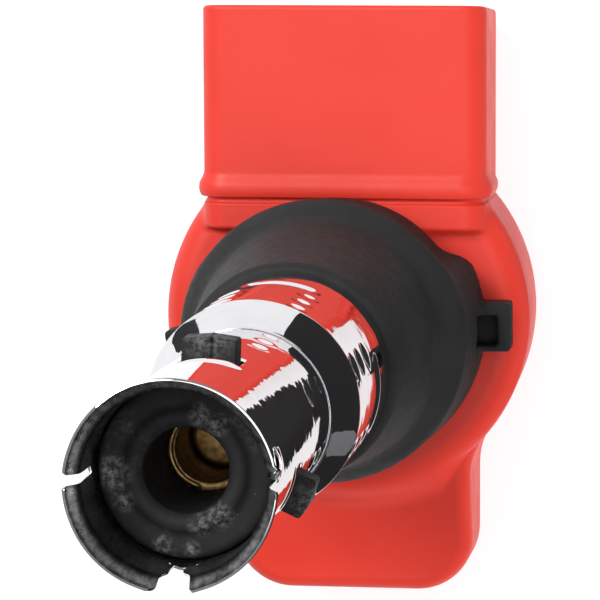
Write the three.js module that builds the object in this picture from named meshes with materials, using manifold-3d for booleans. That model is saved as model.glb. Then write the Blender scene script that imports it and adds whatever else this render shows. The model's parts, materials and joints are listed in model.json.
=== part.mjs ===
// Plug-top ignition coil: a red head with its connector shroud, a rubber well seal, a plated steel
// tube that holds the transformer, and a slotted sleeve round the spark plug boot.
// Millimetres. The coil stands on the flat top of its head: +Z runs along the shaft to the plug end,
// the connector opens towards +Y, and the origin is on the shaft axis in the plane of the head's top.
import * as THREE from 'three';
import { mergeVertices } from 'three/addons/utils/BufferGeometryUtils.js';
import Module from 'manifold-3d';

// Driving dimensions
const GAP = 0.3; // between pieces that touch or are potted together
const LENGTH = 145; // flat top of the head to the rim of the plug end
const FINE = 48; // facets round a large turned piece
const OUTLINE_SEGMENTS = 9; // along each arc of the head's outline, halved
const PLAIN = 28; // facets round a small turned piece

const HEAD_RADIUS = 23.6; // round body, where its side meets the rounded edge
const HEAD_DRAFT = 0.4; // how much narrower its side is at the flat top
const HEAD_HEIGHT = 18;
const HEAD_ROUNDING = 3.5; // edge of the round body's underside
const TAIL_HALF_WIDTH = 15.8;
const TAIL_REACH = 37; // from the shaft axis
const TAIL_HEIGHT = 10;
const TAIL_RISE = 14.5; // height of the tail's top where it meets the round body
const TAIL_CORNER = 7.5;
const TAIL_FILLET = 9; // where the tail runs into the round body
const COVER_THICKNESS = 1.7;
const COVER_INSET = 1.4; // width of the housing's rim round the cover
const HEAD_WALL = 2.2;

const SHROUD_HALF_WIDTH = 18.3;
const SHROUD_LOW = 2.5;
const SHROUD_HIGH = 20;
const SHROUD_END = 39; // from the shaft axis
const SHROUD_LIP = 40.5; // the wall on the plug end's side reaches further
const SHROUD_START = 11.7;
const SHROUD_WALL = 2.2;
const SHROUD_CORNER = 2.8;
const SOCKET_BACK = 23.6; // back wall of the connector socket
const BEAD_CENTRE = 17; // bead round the root of the shroud
const BEAD_PROUD = 0.6;
const BEAD_WIDTH = 2.6;
const BEAD_HEIGHT = 0.4; // above the flat sides of the shroud

const PIN_PITCH = 6;
const PIN_WIDTH = 2.8;
const PIN_THICKNESS = 0.8;
const PIN_LEVEL = 11.2;
const PIN_START = 12;
const PIN_END = 34;

const NECK_RADIUS = 14.5; // spigot that carries the seal
const NECK_END = 38;
const TUBE_RADIUS = 12;
const TUBE_SHEET = 0.6;
const TUBE_START = 19;
const SHOULDER_START = 93;
const SHOULDER_END = 100;
const SLEEVE_RADIUS = 9.6;
const SLEEVE_SHEET = 0.5;
const SLEEVE_START = 97;
const FLARE_RADIUS = 10.8;
const FLARE_LENGTH = 2;
const SLIT_DEPTH = 8; // rim to the cross slot of each slit

const SEAL_BACK = 21;
const SEAL_FLANGE = 4.5; // thickness of the widest band, at the back
const SEAL_EDGE = 41; // where the cone meets the body of the seal
const SEAL_TIP = 66.5;
const SEAL_RADIUS = 18.3;
const SEAL_RELIEF = 16.3; // radius of the flat sector that clears the shroud
const SEAL_RELIEF_ANGLE = 52; // half the angle of that sector, about +Y
const EAR_REACH = 22.1;
const EAR_HALF_WIDTH = 3.1;
const EAR_ANGLES = [0.5, 190.5];

const BOOT_RADIUS = 8.8;
const BOOT_START = 99.5;
const BOOT_FACE = 136;
const BORE_RADIUS = 4.4;
const LUGS = [[88, 6.3], [210, 6.3], [335, 4.4]]; // angle and width of each lug of the boot
const LUG_LEVEL = 122;
const LUG_LENGTH = 3.4;
const LUG_REACH = 12;

const CUP_RADIUS = 4.5;
const CUP_BORE = 3.6;
const CUP_START = 103.6;
const CUP_RIM = 121.5;
const CUP_FLOOR = 104.6;
const PLUNGER_FACE = 113;
const PLUNGER_RADIUS = 3.3;

const WINDING_START = 25.3;
const WINDING_END = 84.7;
const BOBBIN_END = 1.3; // from the winding to the outer face of the bobbin's flange
const CORE_RADIUS = 5.1;

const BOARD_LOW = 8.9;
const BOARD_HIGH = 10.5;
const TRANSISTOR_LOW = 5.6;
const LEAD_START = BOARD_HIGH + GAP;
const LEAD_END = WINDING_START - BOBBIN_END - GAP;
const LEAD_RADIUS = 0.5;

const wasm = await Module();
wasm.setup();

// Solids and geometries

// The solid of a closed geometry.
function solidOf(geometry) {
  const bare = geometry.clone();
  bare.deleteAttribute('normal');
  bare.deleteAttribute('uv');
  const merged = mergeVertices(bare, 1e-4);
  return new wasm.Manifold(
    new wasm.Mesh({
      numProp: 3,
      vertProperties: new Float32Array(merged.attributes.position.array),
      triVerts: new Uint32Array(merged.index.array),
    }),
  );
}

// The geometry of a solid.
function geometryOf(solid) {
  const mesh = solid.getMesh();
  const geometry = new THREE.BufferGeometry();
  geometry.setAttribute('position', new THREE.BufferAttribute(mesh.vertProperties, 3));
  geometry.setIndex(new THREE.BufferAttribute(mesh.triVerts, 1));
  geometry.computeVertexNormals();
  return geometry;
}

// A turned shape about Z. The profile holds [radius, height] points, counter-clockwise. It starts and
// ends on the axis, or else it closes on itself.
function turned(profile, facets = PLAIN) {
  const onAxis = profile[0][0] === 0;
  const closed = onAxis ? profile : [...profile, profile[0]];
  const points = closed.map(([radius, height]) => new THREE.Vector2(radius, height));
  return new THREE.LatheGeometry(points, facets).rotateX(Math.PI / 2);
}

// A turned ring with a plain rectangular section.
function ring(inner, outer, low, high, facets = PLAIN) {
  return turned([[inner, low], [outer, low], [outer, high], [inner, high]], facets);
}

// A plain round rod along Z.
function rod(radius, low, high, facets = PLAIN) {
  return new THREE.CylinderGeometry(radius, radius, high - low, facets)
    .rotateX(Math.PI / 2)
    .translate(0, 0, (low + high) / 2);
}

// A box from its lowest to its highest corner.
function block([x0, y0, z0], [x1, y1, z1]) {
  return new THREE.BoxGeometry(x1 - x0, y1 - y0, z1 - z0)
    .translate((x0 + x1) / 2, (y0 + y1) / 2, (z0 + z1) / 2);
}

// Points on an arc of a profile, both ends included.
function arc(centreRadius, centreHeight, radius, fromDegrees, toDegrees, steps) {
  return Array.from({ length: steps + 1 }, (_, step) => {
    const angle = THREE.MathUtils.degToRad(fromDegrees + ((toDegrees - fromDegrees) * step) / steps);
    return [centreRadius + radius * Math.cos(angle), centreHeight + radius * Math.sin(angle)];
  });
}

// A rectangle with rounded corners, centred on the origin.
function roundedRectangle(halfWidth, halfHeight, corner) {
  const shape = new THREE.Shape();
  const x = halfWidth - corner;
  const y = halfHeight - corner;
  shape.absarc(x, y, corner, 0, Math.PI / 2);
  shape.absarc(-x, y, corner, Math.PI / 2, Math.PI);
  shape.absarc(-x, -y, corner, Math.PI, 1.5 * Math.PI);
  shape.absarc(x, -y, corner, 1.5 * Math.PI, 2 * Math.PI);
  return shape;
}

// A flat shape pulled up from low to high, with both edges rounded inside the outline if bevel is given.
function pulled(shape, low, high, bevel = 0, curveSegments = 6) {
  return new THREE.ExtrudeGeometry(shape, {
    depth: high - low - 2 * bevel,
    bevelEnabled: bevel > 0,
    bevelThickness: bevel,
    bevelSize: bevel,
    bevelOffset: -bevel,
    bevelSegments: 2,
    curveSegments,
  }).translate(0, 0, low + bevel);
}

// The same, pulled along +Y: the shape's x stays x and its y becomes z. The shape is symmetric about x = 0.
function along(shape, near, far, bevel = 0, curveSegments = 3) {
  return pulled(shape, near, far, bevel, curveSegments).rotateX(-Math.PI / 2).rotateY(Math.PI);
}

// A wire of round section along a curve.
function wire(curve, radius, steps, sides = 8) {
  const section = new THREE.Shape();
  section.absarc(0, 0, radius, 0, 2 * Math.PI);
  return new THREE.ExtrudeGeometry(section, {
    steps,
    curveSegments: sides / 2,
    extrudePath: curve,
    bevelEnabled: false,
  });
}

// Head

// Centre of the fillet between the round body and the tail, on the +X side.
const filletX = TAIL_HALF_WIDTH + TAIL_FILLET;
const filletY = -Math.sqrt((HEAD_RADIUS + TAIL_FILLET) ** 2 - filletX ** 2);
const filletAngle = Math.atan2(-filletY, -filletX); // from the fillet's centre to the shaft axis

// The +X and -X sides of the tail with their fillets, as an open outline, inset all round.
function traceTail(shape, inset) {
  const halfWidth = TAIL_HALF_WIDTH - inset;
  const corner = TAIL_CORNER - inset;
  const reach = inset - TAIL_REACH;
  const fillet = TAIL_FILLET + inset;
  shape.absarc(-filletX, filletY, fillet, Math.PI - filletAngle, 0, true);
  shape.absarc(corner - halfWidth, reach + corner, corner, Math.PI, 1.5 * Math.PI);
  shape.absarc(halfWidth - corner, reach + corner, corner, 1.5 * Math.PI, 2 * Math.PI);
  shape.absarc(filletX, filletY, fillet, Math.PI, filletAngle, true);
}

// Outline of the round body and the tail together, inset all round.
function headOutline(inset) {
  const shape = new THREE.Shape();
  const meet = Math.atan2(filletY, filletX);
  shape.absarc(0, 0, HEAD_RADIUS - inset, meet, Math.PI - meet);
  traceTail(shape, inset);
  return shape;
}

// Outline of the tail alone, closed inside the round body.
function tailOutline() {
  const shape = new THREE.Shape();
  traceTail(shape, 0);
  shape.lineTo(TAIL_HALF_WIDTH / 2, 0);
  shape.lineTo(-TAIL_HALF_WIDTH / 2, 0);
  return shape;
}

const socketHalfWidth = SHROUD_HALF_WIDTH - SHROUD_WALL;
const shroudMiddle = (SHROUD_LOW + SHROUD_HIGH) / 2;
const shroudHalfHeight = (SHROUD_HIGH - SHROUD_LOW) / 2;
const pinPlaces = [-1.5, -0.5, 0.5, 1.5].map((step) => step * PIN_PITCH);
const coverFace = COVER_THICKNESS + GAP;

// The connector shroud as a solid block with the bead round its root.
function shroudBlock() {
  const outer = roundedRectangle(SHROUD_HALF_WIDTH, shroudHalfHeight, SHROUD_CORNER);
  const main = solidOf(along(outer, SHROUD_START, SHROUD_LIP, 0.6).translate(0, 0, shroudMiddle));
  const swollenWidth = SHROUD_HALF_WIDTH + BEAD_PROUD;
  const swollen = roundedRectangle(swollenWidth, shroudHalfHeight + BEAD_HEIGHT, SHROUD_CORNER + 0.6);
  const beadStart = BEAD_CENTRE - BEAD_WIDTH / 2;
  const bead = along(swollen, beadStart, beadStart + BEAD_WIDTH, 1).translate(0, 0, shroudMiddle);
  const low = [-SHROUD_HALF_WIDTH - 1, SHROUD_END, -1];
  const belowLip = block(low, [SHROUD_HALF_WIDTH + 1, SHROUD_LIP + 1, SHROUD_HIGH - SHROUD_WALL]);
  return main.add(solidOf(bead)).subtract(solidOf(belowLip));
}

// The space that the connector plug enters, with the slots that the pins pass through.
function connectorSocket() {
  const inner = roundedRectangle(socketHalfWidth, shroudHalfHeight - SHROUD_WALL, 1.2);
  let hollow = solidOf(along(inner, SOCKET_BACK, SHROUD_LIP + 1).translate(0, 0, shroudMiddle));
  const low = PIN_LEVEL - PIN_THICKNESS / 2 - GAP;
  const high = PIN_LEVEL + PIN_THICKNESS / 2 + GAP;
  for (const x of pinPlaces) {
    const half = PIN_WIDTH / 2 + GAP;
    hollow = hollow.add(solidOf(block([x - half, PIN_START, low], [x + half, SOCKET_BACK + 1, high])));
  }
  return hollow;
}

// The tail's top climbs towards the round body in one smooth curve, between these two distances.
function tailRamp() {
  const far = -33;
  const near = -23;
  const steps = 10;
  const side = new THREE.Shape();
  side.moveTo(far, 0);
  for (let step = 0; step <= steps; step += 1) {
    const share = step / steps;
    const rise = share * share * (3 - 2 * share);
    side.lineTo(far + share * (near - far), TAIL_HEIGHT + rise * (TAIL_RISE - TAIL_HEIGHT));
  }
  side.lineTo(-10, TAIL_RISE);
  side.lineTo(-10, 0);
  const turnedUp = new THREE.Matrix4();
  turnedUp.makeBasis(new THREE.Vector3(0, 1, 0), new THREE.Vector3(0, 0, 1), new THREE.Vector3(1, 0, 0));
  const wedge = pulled(side, -30, 30).applyMatrix4(turnedUp);
  return solidOf(pulled(tailOutline(), -2, TAIL_RISE + 1)).intersect(solidOf(wedge));
}

function headHousing() {
  const edge = arc(HEAD_RADIUS - HEAD_ROUNDING, HEAD_HEIGHT - HEAD_ROUNDING, HEAD_ROUNDING, 0, 90, 5);
  const rim = HEAD_RADIUS - HEAD_DRAFT;
  const round = turned([[0, 0], [rim - 0.8, 0], [rim, 0.8], ...edge, [0, HEAD_HEIGHT]], FINE);
  const tail = solidOf(pulled(tailOutline(), -2, TAIL_HEIGHT, 1)).add(tailRamp());
  const neck = rod(NECK_RADIUS, HEAD_HEIGHT - 1, NECK_END, FINE);
  const catchRamp = block([-4, SHROUD_END - 7, SHROUD_LOW - 1.6], [4, SHROUD_END - 4, SHROUD_LOW + 1]);
  const parts = [shroudBlock(), ...[round, neck, catchRamp].map(solidOf)];
  const outside = parts.reduce((body, part) => body.add(part), tail);

  const recess = pulled(headOutline(COVER_INSET), -1, coverFace, 0, OUTLINE_SEGMENTS);
  const shallowWell = pulled(headOutline(HEAD_WALL), 1, TAIL_HEIGHT - 2, 0, OUTLINE_SEGMENTS);
  const deepWell = rod(HEAD_RADIUS - HEAD_WALL, 1, HEAD_HEIGHT - 2, FINE);
  const tubeSeat = rod(TUBE_RADIUS + GAP, TUBE_START - GAP, NECK_END + 1, FINE);
  const leadHole = rod(9, HEAD_HEIGHT - 3, TUBE_START + 1, PLAIN);
  const belowTop = block([-60, -60, -10], [60, 60, 0]);
  const cuts = [recess, shallowWell, deepWell, tubeSeat, leadHole, belowTop].map(solidOf);
  const hollowed = cuts.reduce((body, cut) => body.subtract(cut), outside);
  return geometryOf(hollowed.subtract(connectorSocket()));
}

function headCover() {
  return pulled(headOutline(COVER_INSET + GAP), 0, COVER_THICKNESS, 0, OUTLINE_SEGMENTS);
}

// One straight connector pin with a tapered tip.
function connectorPin(x) {
  const half = PIN_WIDTH / 2;
  const outline = new THREE.Shape();
  outline.moveTo(x - half, PIN_START);
  outline.lineTo(x + half, PIN_START);
  outline.lineTo(x + half, PIN_END - 1.2);
  outline.lineTo(x + half - 0.8, PIN_END);
  outline.lineTo(x - half + 0.8, PIN_END);
  outline.lineTo(x - half, PIN_END - 1.2);
  return pulled(outline, PIN_LEVEL - PIN_THICKNESS / 2, PIN_LEVEL + PIN_THICKNESS / 2);
}

function driverBoard() {
  return pulled(roundedRectangle(13, 12, 1.5), BOARD_LOW, BOARD_HIGH).translate(0, 1, 0);
}

function powerTransistor() {
  return pulled(roundedRectangle(5, 4.5, 0.4), TRANSISTOR_LOW, BOARD_LOW - GAP, 0.3, 2).translate(0, 4, 0);
}

function heatSpreader() {
  const face = TRANSISTOR_LOW - GAP;
  return pulled(roundedRectangle(8, 7, 1), face - 0.9, face, 0, 3).translate(0, 3, 0);
}

function noiseCapacitor() {
  const high = TAIL_HEIGHT - 2.3;
  return pulled(roundedRectangle(4.5, 3, 1), high - 2.1, high, 0.4, 3).translate(0, -27, 0);
}

function pottingResin() {
  return pulled(headOutline(HEAD_WALL + GAP), coverFace + GAP, TRANSISTOR_LOW - 1.6, 0, OUTLINE_SEGMENTS);
}

// A round wire that leaves the board, bends outwards and ends at the top of a winding.
function lead(x, y, spread) {
  const curve = new THREE.CatmullRomCurve3([
    new THREE.Vector3(x, y, LEAD_START),
    new THREE.Vector3(x, y, LEAD_START + 3),
    new THREE.Vector3(x * spread, y * spread, LEAD_END - 4),
    new THREE.Vector3(x * spread, y * spread, LEAD_END),
  ]);
  return wire(curve, LEAD_RADIUS, 12, 6);
}

// Seal

// One box-shaped ear and its blind pocket, which opens towards the plug end.
function sealEar() {
  const high = SEAL_BACK + SEAL_FLANGE;
  const wall = 1.3;
  const half = EAR_HALF_WIDTH - wall;
  const shell = block([SEAL_RELIEF, -EAR_HALF_WIDTH, SEAL_BACK], [EAR_REACH, EAR_HALF_WIDTH, high]);
  const pocket = block([SEAL_RADIUS - 0.7, -half, SEAL_BACK + 1], [EAR_REACH - wall, half, high + 1]);
  return [solidOf(shell), solidOf(pocket)];
}

// The sector that is cut back on the connector side, below the front edge.
function sealRelief() {
  const half = THREE.MathUtils.degToRad(SEAL_RELIEF_ANGLE);
  const sector = new THREE.Shape();
  sector.absarc(0, 0, SEAL_RADIUS + 3, Math.PI / 2 - half, Math.PI / 2 + half);
  sector.absarc(0, 0, SEAL_RELIEF, Math.PI / 2 + half, Math.PI / 2 - half, true);
  return solidOf(pulled(sector, SEAL_BACK - 1, SEAL_EDGE - 4, 0, 8));
}

function wellSeal() {
  const bore = TUBE_RADIUS + GAP;
  const outline = [
    [NECK_RADIUS + GAP, SEAL_BACK],
    [SEAL_RADIUS - 0.4, SEAL_BACK],
    [SEAL_RADIUS, SEAL_BACK + 0.4],
    [SEAL_RADIUS, SEAL_BACK + SEAL_FLANGE - 0.4],
    [SEAL_RADIUS - 0.4, SEAL_BACK + SEAL_FLANGE],
    ...arc(SEAL_RADIUS - 3.8, SEAL_EDGE - 3.2, 3.2, 0, 78, 4),
    [13.6, SEAL_TIP - 4],
    [bore + 1.1, SEAL_TIP - 0.8],
    [bore + 0.5, SEAL_TIP],
    [bore, SEAL_TIP - 0.4],
    [bore, NECK_END + GAP],
    [NECK_RADIUS + GAP, NECK_END + GAP],
  ];
  let seal = solidOf(turned(outline, FINE)).subtract(sealRelief());
  for (const degrees of EAR_ANGLES) {
    const [shell, pocket] = sealEar().map((piece) => piece.rotate([0, 0, degrees]));
    seal = seal.add(shell).subtract(pocket);
  }
  return geometryOf(seal);
}

// Tube, sleeve and boot

function outerTube() {
  const inner = TUBE_RADIUS - TUBE_SHEET;
  const neckInner = SLEEVE_RADIUS + GAP;
  const neckOuter = neckInner + 0.45;
  return turned([
    [inner, TUBE_START],
    [TUBE_RADIUS, TUBE_START],
    ...arc(TUBE_RADIUS - 1.5, SHOULDER_START, 1.5, 0, 60, 4),
    [neckOuter + 0.25, SHOULDER_END - 2.2],
    [neckOuter, SHOULDER_END - 1.2],
    [neckOuter, SHOULDER_END],
    [neckInner, SHOULDER_END],
    [neckInner, SHOULDER_END - 1.6],
    [inner - 0.7, SHOULDER_START + 1.3],
    [inner, SHOULDER_START - 0.6],
  ], FINE);
}

// The cut for one slit: a slot from the rim, a cross slot at its end and, on one side, a wide mouth.
function slitCut(degrees, mouth) {
  const inside = SLEEVE_RADIUS - 2;
  const outside = FLARE_RADIUS + 1;
  const end = LENGTH - SLIT_DEPTH;
  const slot = solidOf(block([inside, -0.7, end], [outside, 0.7, LENGTH + 1]));
  const cross = solidOf(block([inside, -3, end - 0.6], [outside, 3, end + 0.6]));
  const wide = solidOf(block([inside, -mouth / 2, LENGTH - 3], [outside, mouth / 2, LENGTH + 1]));
  return slot.add(cross).add(wide).rotate([0, 0, degrees]);
}

const slits = [[0, 1.4], [180, 1.4], [270, 4]]; // angle and width at the rim

function lowerSleeve() {
  const inner = SLEEVE_RADIUS - SLEEVE_SHEET;
  const flareStart = LENGTH - FLARE_LENGTH;
  const outer = [
    [SLEEVE_RADIUS, SLEEVE_START],
    [SLEEVE_RADIUS, flareStart],
    [SLEEVE_RADIUS + 0.4, flareStart + 1],
    [FLARE_RADIUS, LENGTH - 0.2],
  ];
  const inward = [
    [FLARE_RADIUS - SLEEVE_SHEET, LENGTH],
    [inner + 0.4, flareStart + 1.2],
    [inner, flareStart + 0.1],
    [inner, SLEEVE_START],
  ];
  let sleeve = solidOf(turned([...outer, ...inward], FINE));
  for (const [degrees, mouth] of slits) {
    sleeve = sleeve.subtract(slitCut(degrees, mouth));
  }
  const low = LUG_LEVEL - LUG_LENGTH / 2 - 0.4;
  const high = LUG_LEVEL + LUG_LENGTH / 2 + 0.4;
  for (const [degrees, width] of LUGS) {
    const half = width / 2 + 0.5;
    const window = solidOf(block([SLEEVE_RADIUS - 3, -half, low], [SLEEVE_RADIUS + 2, half, high]));
    sleeve = sleeve.subtract(window.rotate([0, 0, degrees]));
  }
  return geometryOf(sleeve);
}

function sparkPlugBoot() {
  const caseBore = 6.9;
  let boot = solidOf(turned([
    [caseBore, BOOT_START],
    [BOOT_RADIUS - 0.6, BOOT_START],
    [BOOT_RADIUS, BOOT_START + 1],
    [BOOT_RADIUS, BOOT_FACE - 0.8],
    [BOOT_RADIUS - 0.8, BOOT_FACE],
    [BORE_RADIUS + 0.7, BOOT_FACE],
    [BORE_RADIUS, BOOT_FACE - 1],
    [BORE_RADIUS, CUP_RIM + GAP],
    [caseBore, CUP_RIM + GAP],
  ], FINE));
  for (const [degrees, width] of LUGS) {
    const half = width / 2;
    const low = [BOOT_RADIUS - 1, -half, LUG_LEVEL - LUG_LENGTH / 2];
    const high = [LUG_REACH, half, LUG_LEVEL + LUG_LENGTH / 2];
    boot = boot.add(solidOf(block(low, high)).rotate([0, 0, degrees]));
  }
  return geometryOf(boot);
}

// Contact end

function terminalCup() {
  return turned([
    [0, CUP_START],
    [CUP_RADIUS, CUP_START],
    [CUP_RADIUS, CUP_RIM],
    [CUP_BORE, CUP_RIM],
    [CUP_BORE, CUP_FLOOR],
    [0, CUP_FLOOR],
  ]);
}

function snapRing() {
  const wireRadius = 0.32;
  const start = THREE.MathUtils.degToRad(-60);
  const sweep = THREE.MathUtils.degToRad(320);
  const curve = new THREE.EllipseCurve(0, 0, CUP_RADIUS - 0.5, CUP_RADIUS - 0.5, start, start + sweep);
  const points = curve.getPoints(24).map(({ x, y }) => new THREE.Vector3(x, y, CUP_RIM + GAP + wireRadius));
  return wire(new THREE.CatmullRomCurve3(points), wireRadius, 32, 6);
}

function contactPlunger() {
  const rim = PLUNGER_RADIUS;
  return turned([
    [0, PLUNGER_FACE - 5.5],
    [1.2, PLUNGER_FACE - 5.5],
    [1.2, PLUNGER_FACE - 2],
    [rim, PLUNGER_FACE - 2],
    [rim, PLUNGER_FACE - 0.5],
    [rim - 0.5, PLUNGER_FACE],
    [0, PLUNGER_FACE],
  ]);
}

class Helix extends THREE.Curve {
  constructor(radius, low, high, turns) {
    super();
    Object.assign(this, { radius, low, high, turns });
  }

  getPoint(t, target = new THREE.Vector3()) {
    const angle = 2 * Math.PI * this.turns * t;
    const height = this.low + (this.high - this.low) * t;
    return target.set(this.radius * Math.cos(angle), this.radius * Math.sin(angle), height);
  }
}

function contactSpring() {
  const wireRadius = 0.25;
  const low = CUP_FLOOR + GAP + wireRadius;
  const high = PLUNGER_FACE - 2 - GAP - wireRadius;
  return wire(new Helix(2.4, low, high, 4.5), wireRadius, 72, 6);
}

// Transformer

function coilCase() {
  const outer = 10.4;
  const inner = 9.6;
  const neck = 6.6;
  const cupBore = CUP_RADIUS + GAP;
  const rodBore = 2.7;
  return turned([
    [inner, TUBE_START + 0.5],
    [outer, TUBE_START + 0.5],
    [outer, 91],
    [neck + 0.4, 96.5],
    [neck, 98],
    [neck, CUP_RIM - 1],
    [cupBore, CUP_RIM - 1],
    [cupBore, CUP_START - GAP],
    [rodBore, CUP_START - GAP],
    [rodBore, 91.5],
    [inner, 88],
  ], FINE);
}

// A steel tube with a slit along its length, so that it is no shorted turn.
function fluxShield() {
  const half = THREE.MathUtils.degToRad(3);
  const outline = new THREE.Shape();
  outline.absarc(0, 0, 11.1, half, 2 * Math.PI - half);
  outline.absarc(0, 0, 10.7, 2 * Math.PI - half, half, true);
  return pulled(outline, 26, 86, 0, 16);
}

// A bobbin: a tube with a flange at each end.
function bobbin(inner, outer, flange) {
  const low = WINDING_START - BOBBIN_END;
  const high = WINDING_END + BOBBIN_END;
  return turned([
    [inner, low],
    [flange, low],
    [flange, low + 1],
    [outer, low + 1],
    [outer, high - 1],
    [flange, high - 1],
    [flange, high],
    [inner, high],
  ]);
}

function secondaryWinding() {
  const inner = 6.2;
  return turned([[inner, WINDING_START], [7.4, WINDING_START], [6.9, WINDING_END], [inner, WINDING_END]]);
}

// Materials

function paint(color, roughness, metalness = 0) {
  return new THREE.MeshStandardMaterial({ color, roughness, metalness });
}

const redPlastic = paint(0xd9322c, 0.45);
const blackRubber = paint(0x2c2c2e, 0.75);
const chrome = paint(0xd4d4d8, 0.08, 1);
const siliconSteel = paint(0x77787c, 0.45, 1);
const brass = paint(0xb08d4a, 0.35, 1);
const springSteel = paint(0x9a9a9e, 0.3, 1);
const tinnedCopper = paint(0xc9b8a2, 0.35, 1);
const enamelledCopper = paint(0x9c4a22, 0.35, 1);
const whiteMoulding = paint(0xd8d2c4, 0.6);
const boardGreen = paint(0x24543a, 0.55);
const epoxyBlack = paint(0x1b1b1d, 0.5);
const aluminium = paint(0xb4b6ba, 0.4, 1);
const resin = paint(0x3b2a1c, 0.3);
const magnetGrey = paint(0x55565a, 0.5, 1);
const cushionGrey = paint(0x8a8c90, 0.85);
const ceramicWhite = paint(0xe2ddd2, 0.5);
const capacitorTan = paint(0xa87f48, 0.5);

// Assembly

const coil = new THREE.Group();

function place(parent, name, geometry, material) {
  const mesh = new THREE.Mesh(geometry, material);
  mesh.name = name;
  parent.add(mesh);
}

function buildHead() {
  const head = new THREE.Group();
  place(head, 'head_housing', headHousing(), redPlastic);
  place(head, 'head_cover', headCover(), redPlastic);
  pinPlaces.forEach((x, index) => place(head, `connector_pin_${index + 1}`, connectorPin(x), tinnedCopper));
  place(head, 'driver_board', driverBoard(), boardGreen);
  place(head, 'power_transistor', powerTransistor(), epoxyBlack);
  place(head, 'heat_spreader', heatSpreader(), aluminium);
  place(head, 'noise_capacitor', noiseCapacitor(), capacitorTan);
  place(head, 'potting_resin', pottingResin(), resin);
  place(head, 'primary_lead_1', lead(5, -3, 1.45), enamelledCopper);
  place(head, 'primary_lead_2', lead(-5, -3, 1.45), enamelledCopper);
  place(head, 'secondary_lead', lead(0, -6, 1.1), enamelledCopper);
  return head;
}

function buildTransformer() {
  const transformer = new THREE.Group();
  place(transformer, 'coil_case', coilCase(), whiteMoulding);
  place(transformer, 'flux_shield', fluxShield(), siliconSteel);
  place(transformer, 'primary_bobbin', bobbin(8, 8.35, 9.3), whiteMoulding);
  place(transformer, 'primary_winding', ring(8.65, 9.3, WINDING_START, WINDING_END), enamelledCopper);
  place(transformer, 'secondary_bobbin', bobbin(5.5, 5.9, 7.6), whiteMoulding);
  place(transformer, 'secondary_winding', secondaryWinding(), enamelledCopper);
  place(transformer, 'core_rod', rod(CORE_RADIUS, 30, 79), siliconSteel);
  place(transformer, 'core_magnet_upper', rod(CORE_RADIUS, 27, 29.7), magnetGrey);
  place(transformer, 'core_magnet_lower', rod(CORE_RADIUS, 79.3, 82), magnetGrey);
  place(transformer, 'core_cushion_upper', rod(CORE_RADIUS, 24.5, 26.7), cushionGrey);
  place(transformer, 'core_cushion_lower', rod(CORE_RADIUS, 82.3, 84.5), cushionGrey);
  place(transformer, 'high_voltage_diode', rod(2, 86.5, 91.2, 24), epoxyBlack);
  place(transformer, 'suppression_resistor', rod(2.4, 91.6, CUP_START - GAP, 24), ceramicWhite);
  return transformer;
}

function buildPlugEnd() {
  const plugEnd = new THREE.Group();
  place(plugEnd, 'well_seal', wellSeal(), blackRubber);
  place(plugEnd, 'outer_tube', outerTube(), chrome);
  place(plugEnd, 'lower_sleeve', lowerSleeve(), chrome);
  place(plugEnd, 'spark_plug_boot', sparkPlugBoot(), blackRubber);
  place(plugEnd, 'terminal_cup', terminalCup(), brass);
  place(plugEnd, 'snap_ring', snapRing(), springSteel);
  place(plugEnd, 'contact_spring', contactSpring(), springSteel);
  place(plugEnd, 'contact_plunger', contactPlunger(), brass);
  return plugEnd;
}

coil.add(buildHead(), buildTransformer(), buildPlugEnd());

export default coil;
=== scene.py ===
"""Plug-top ignition coil: detailed surfaces, materials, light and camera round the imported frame.

Shapes are made in millimetres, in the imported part's own axes, and stored in metres. The coil stands
on the flat top of its head, +Z runs along the shaft to the plug end, and the connector opens to +Y.
"""

import json
import math

import bpy
import numpy as np
from mathutils import Matrix, Vector


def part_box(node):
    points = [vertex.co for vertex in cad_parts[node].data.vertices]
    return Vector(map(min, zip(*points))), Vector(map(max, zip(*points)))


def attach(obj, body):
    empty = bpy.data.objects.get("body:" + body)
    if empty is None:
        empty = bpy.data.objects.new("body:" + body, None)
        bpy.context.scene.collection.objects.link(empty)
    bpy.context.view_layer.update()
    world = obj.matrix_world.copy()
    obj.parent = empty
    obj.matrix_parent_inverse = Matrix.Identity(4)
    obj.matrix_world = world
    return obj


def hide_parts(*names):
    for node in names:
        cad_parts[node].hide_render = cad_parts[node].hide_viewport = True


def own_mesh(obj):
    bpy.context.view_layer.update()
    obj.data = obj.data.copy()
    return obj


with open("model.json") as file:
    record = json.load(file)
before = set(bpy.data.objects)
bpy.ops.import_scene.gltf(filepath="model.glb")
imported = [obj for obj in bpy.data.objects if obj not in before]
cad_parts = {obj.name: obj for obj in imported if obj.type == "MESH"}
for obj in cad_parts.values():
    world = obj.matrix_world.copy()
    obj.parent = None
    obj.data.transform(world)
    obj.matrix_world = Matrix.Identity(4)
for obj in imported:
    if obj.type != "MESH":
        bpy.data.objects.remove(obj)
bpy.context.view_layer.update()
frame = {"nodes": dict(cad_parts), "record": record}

MM = 0.001
BODY = "coil_body"
PLUNGER = "plunger"

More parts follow.
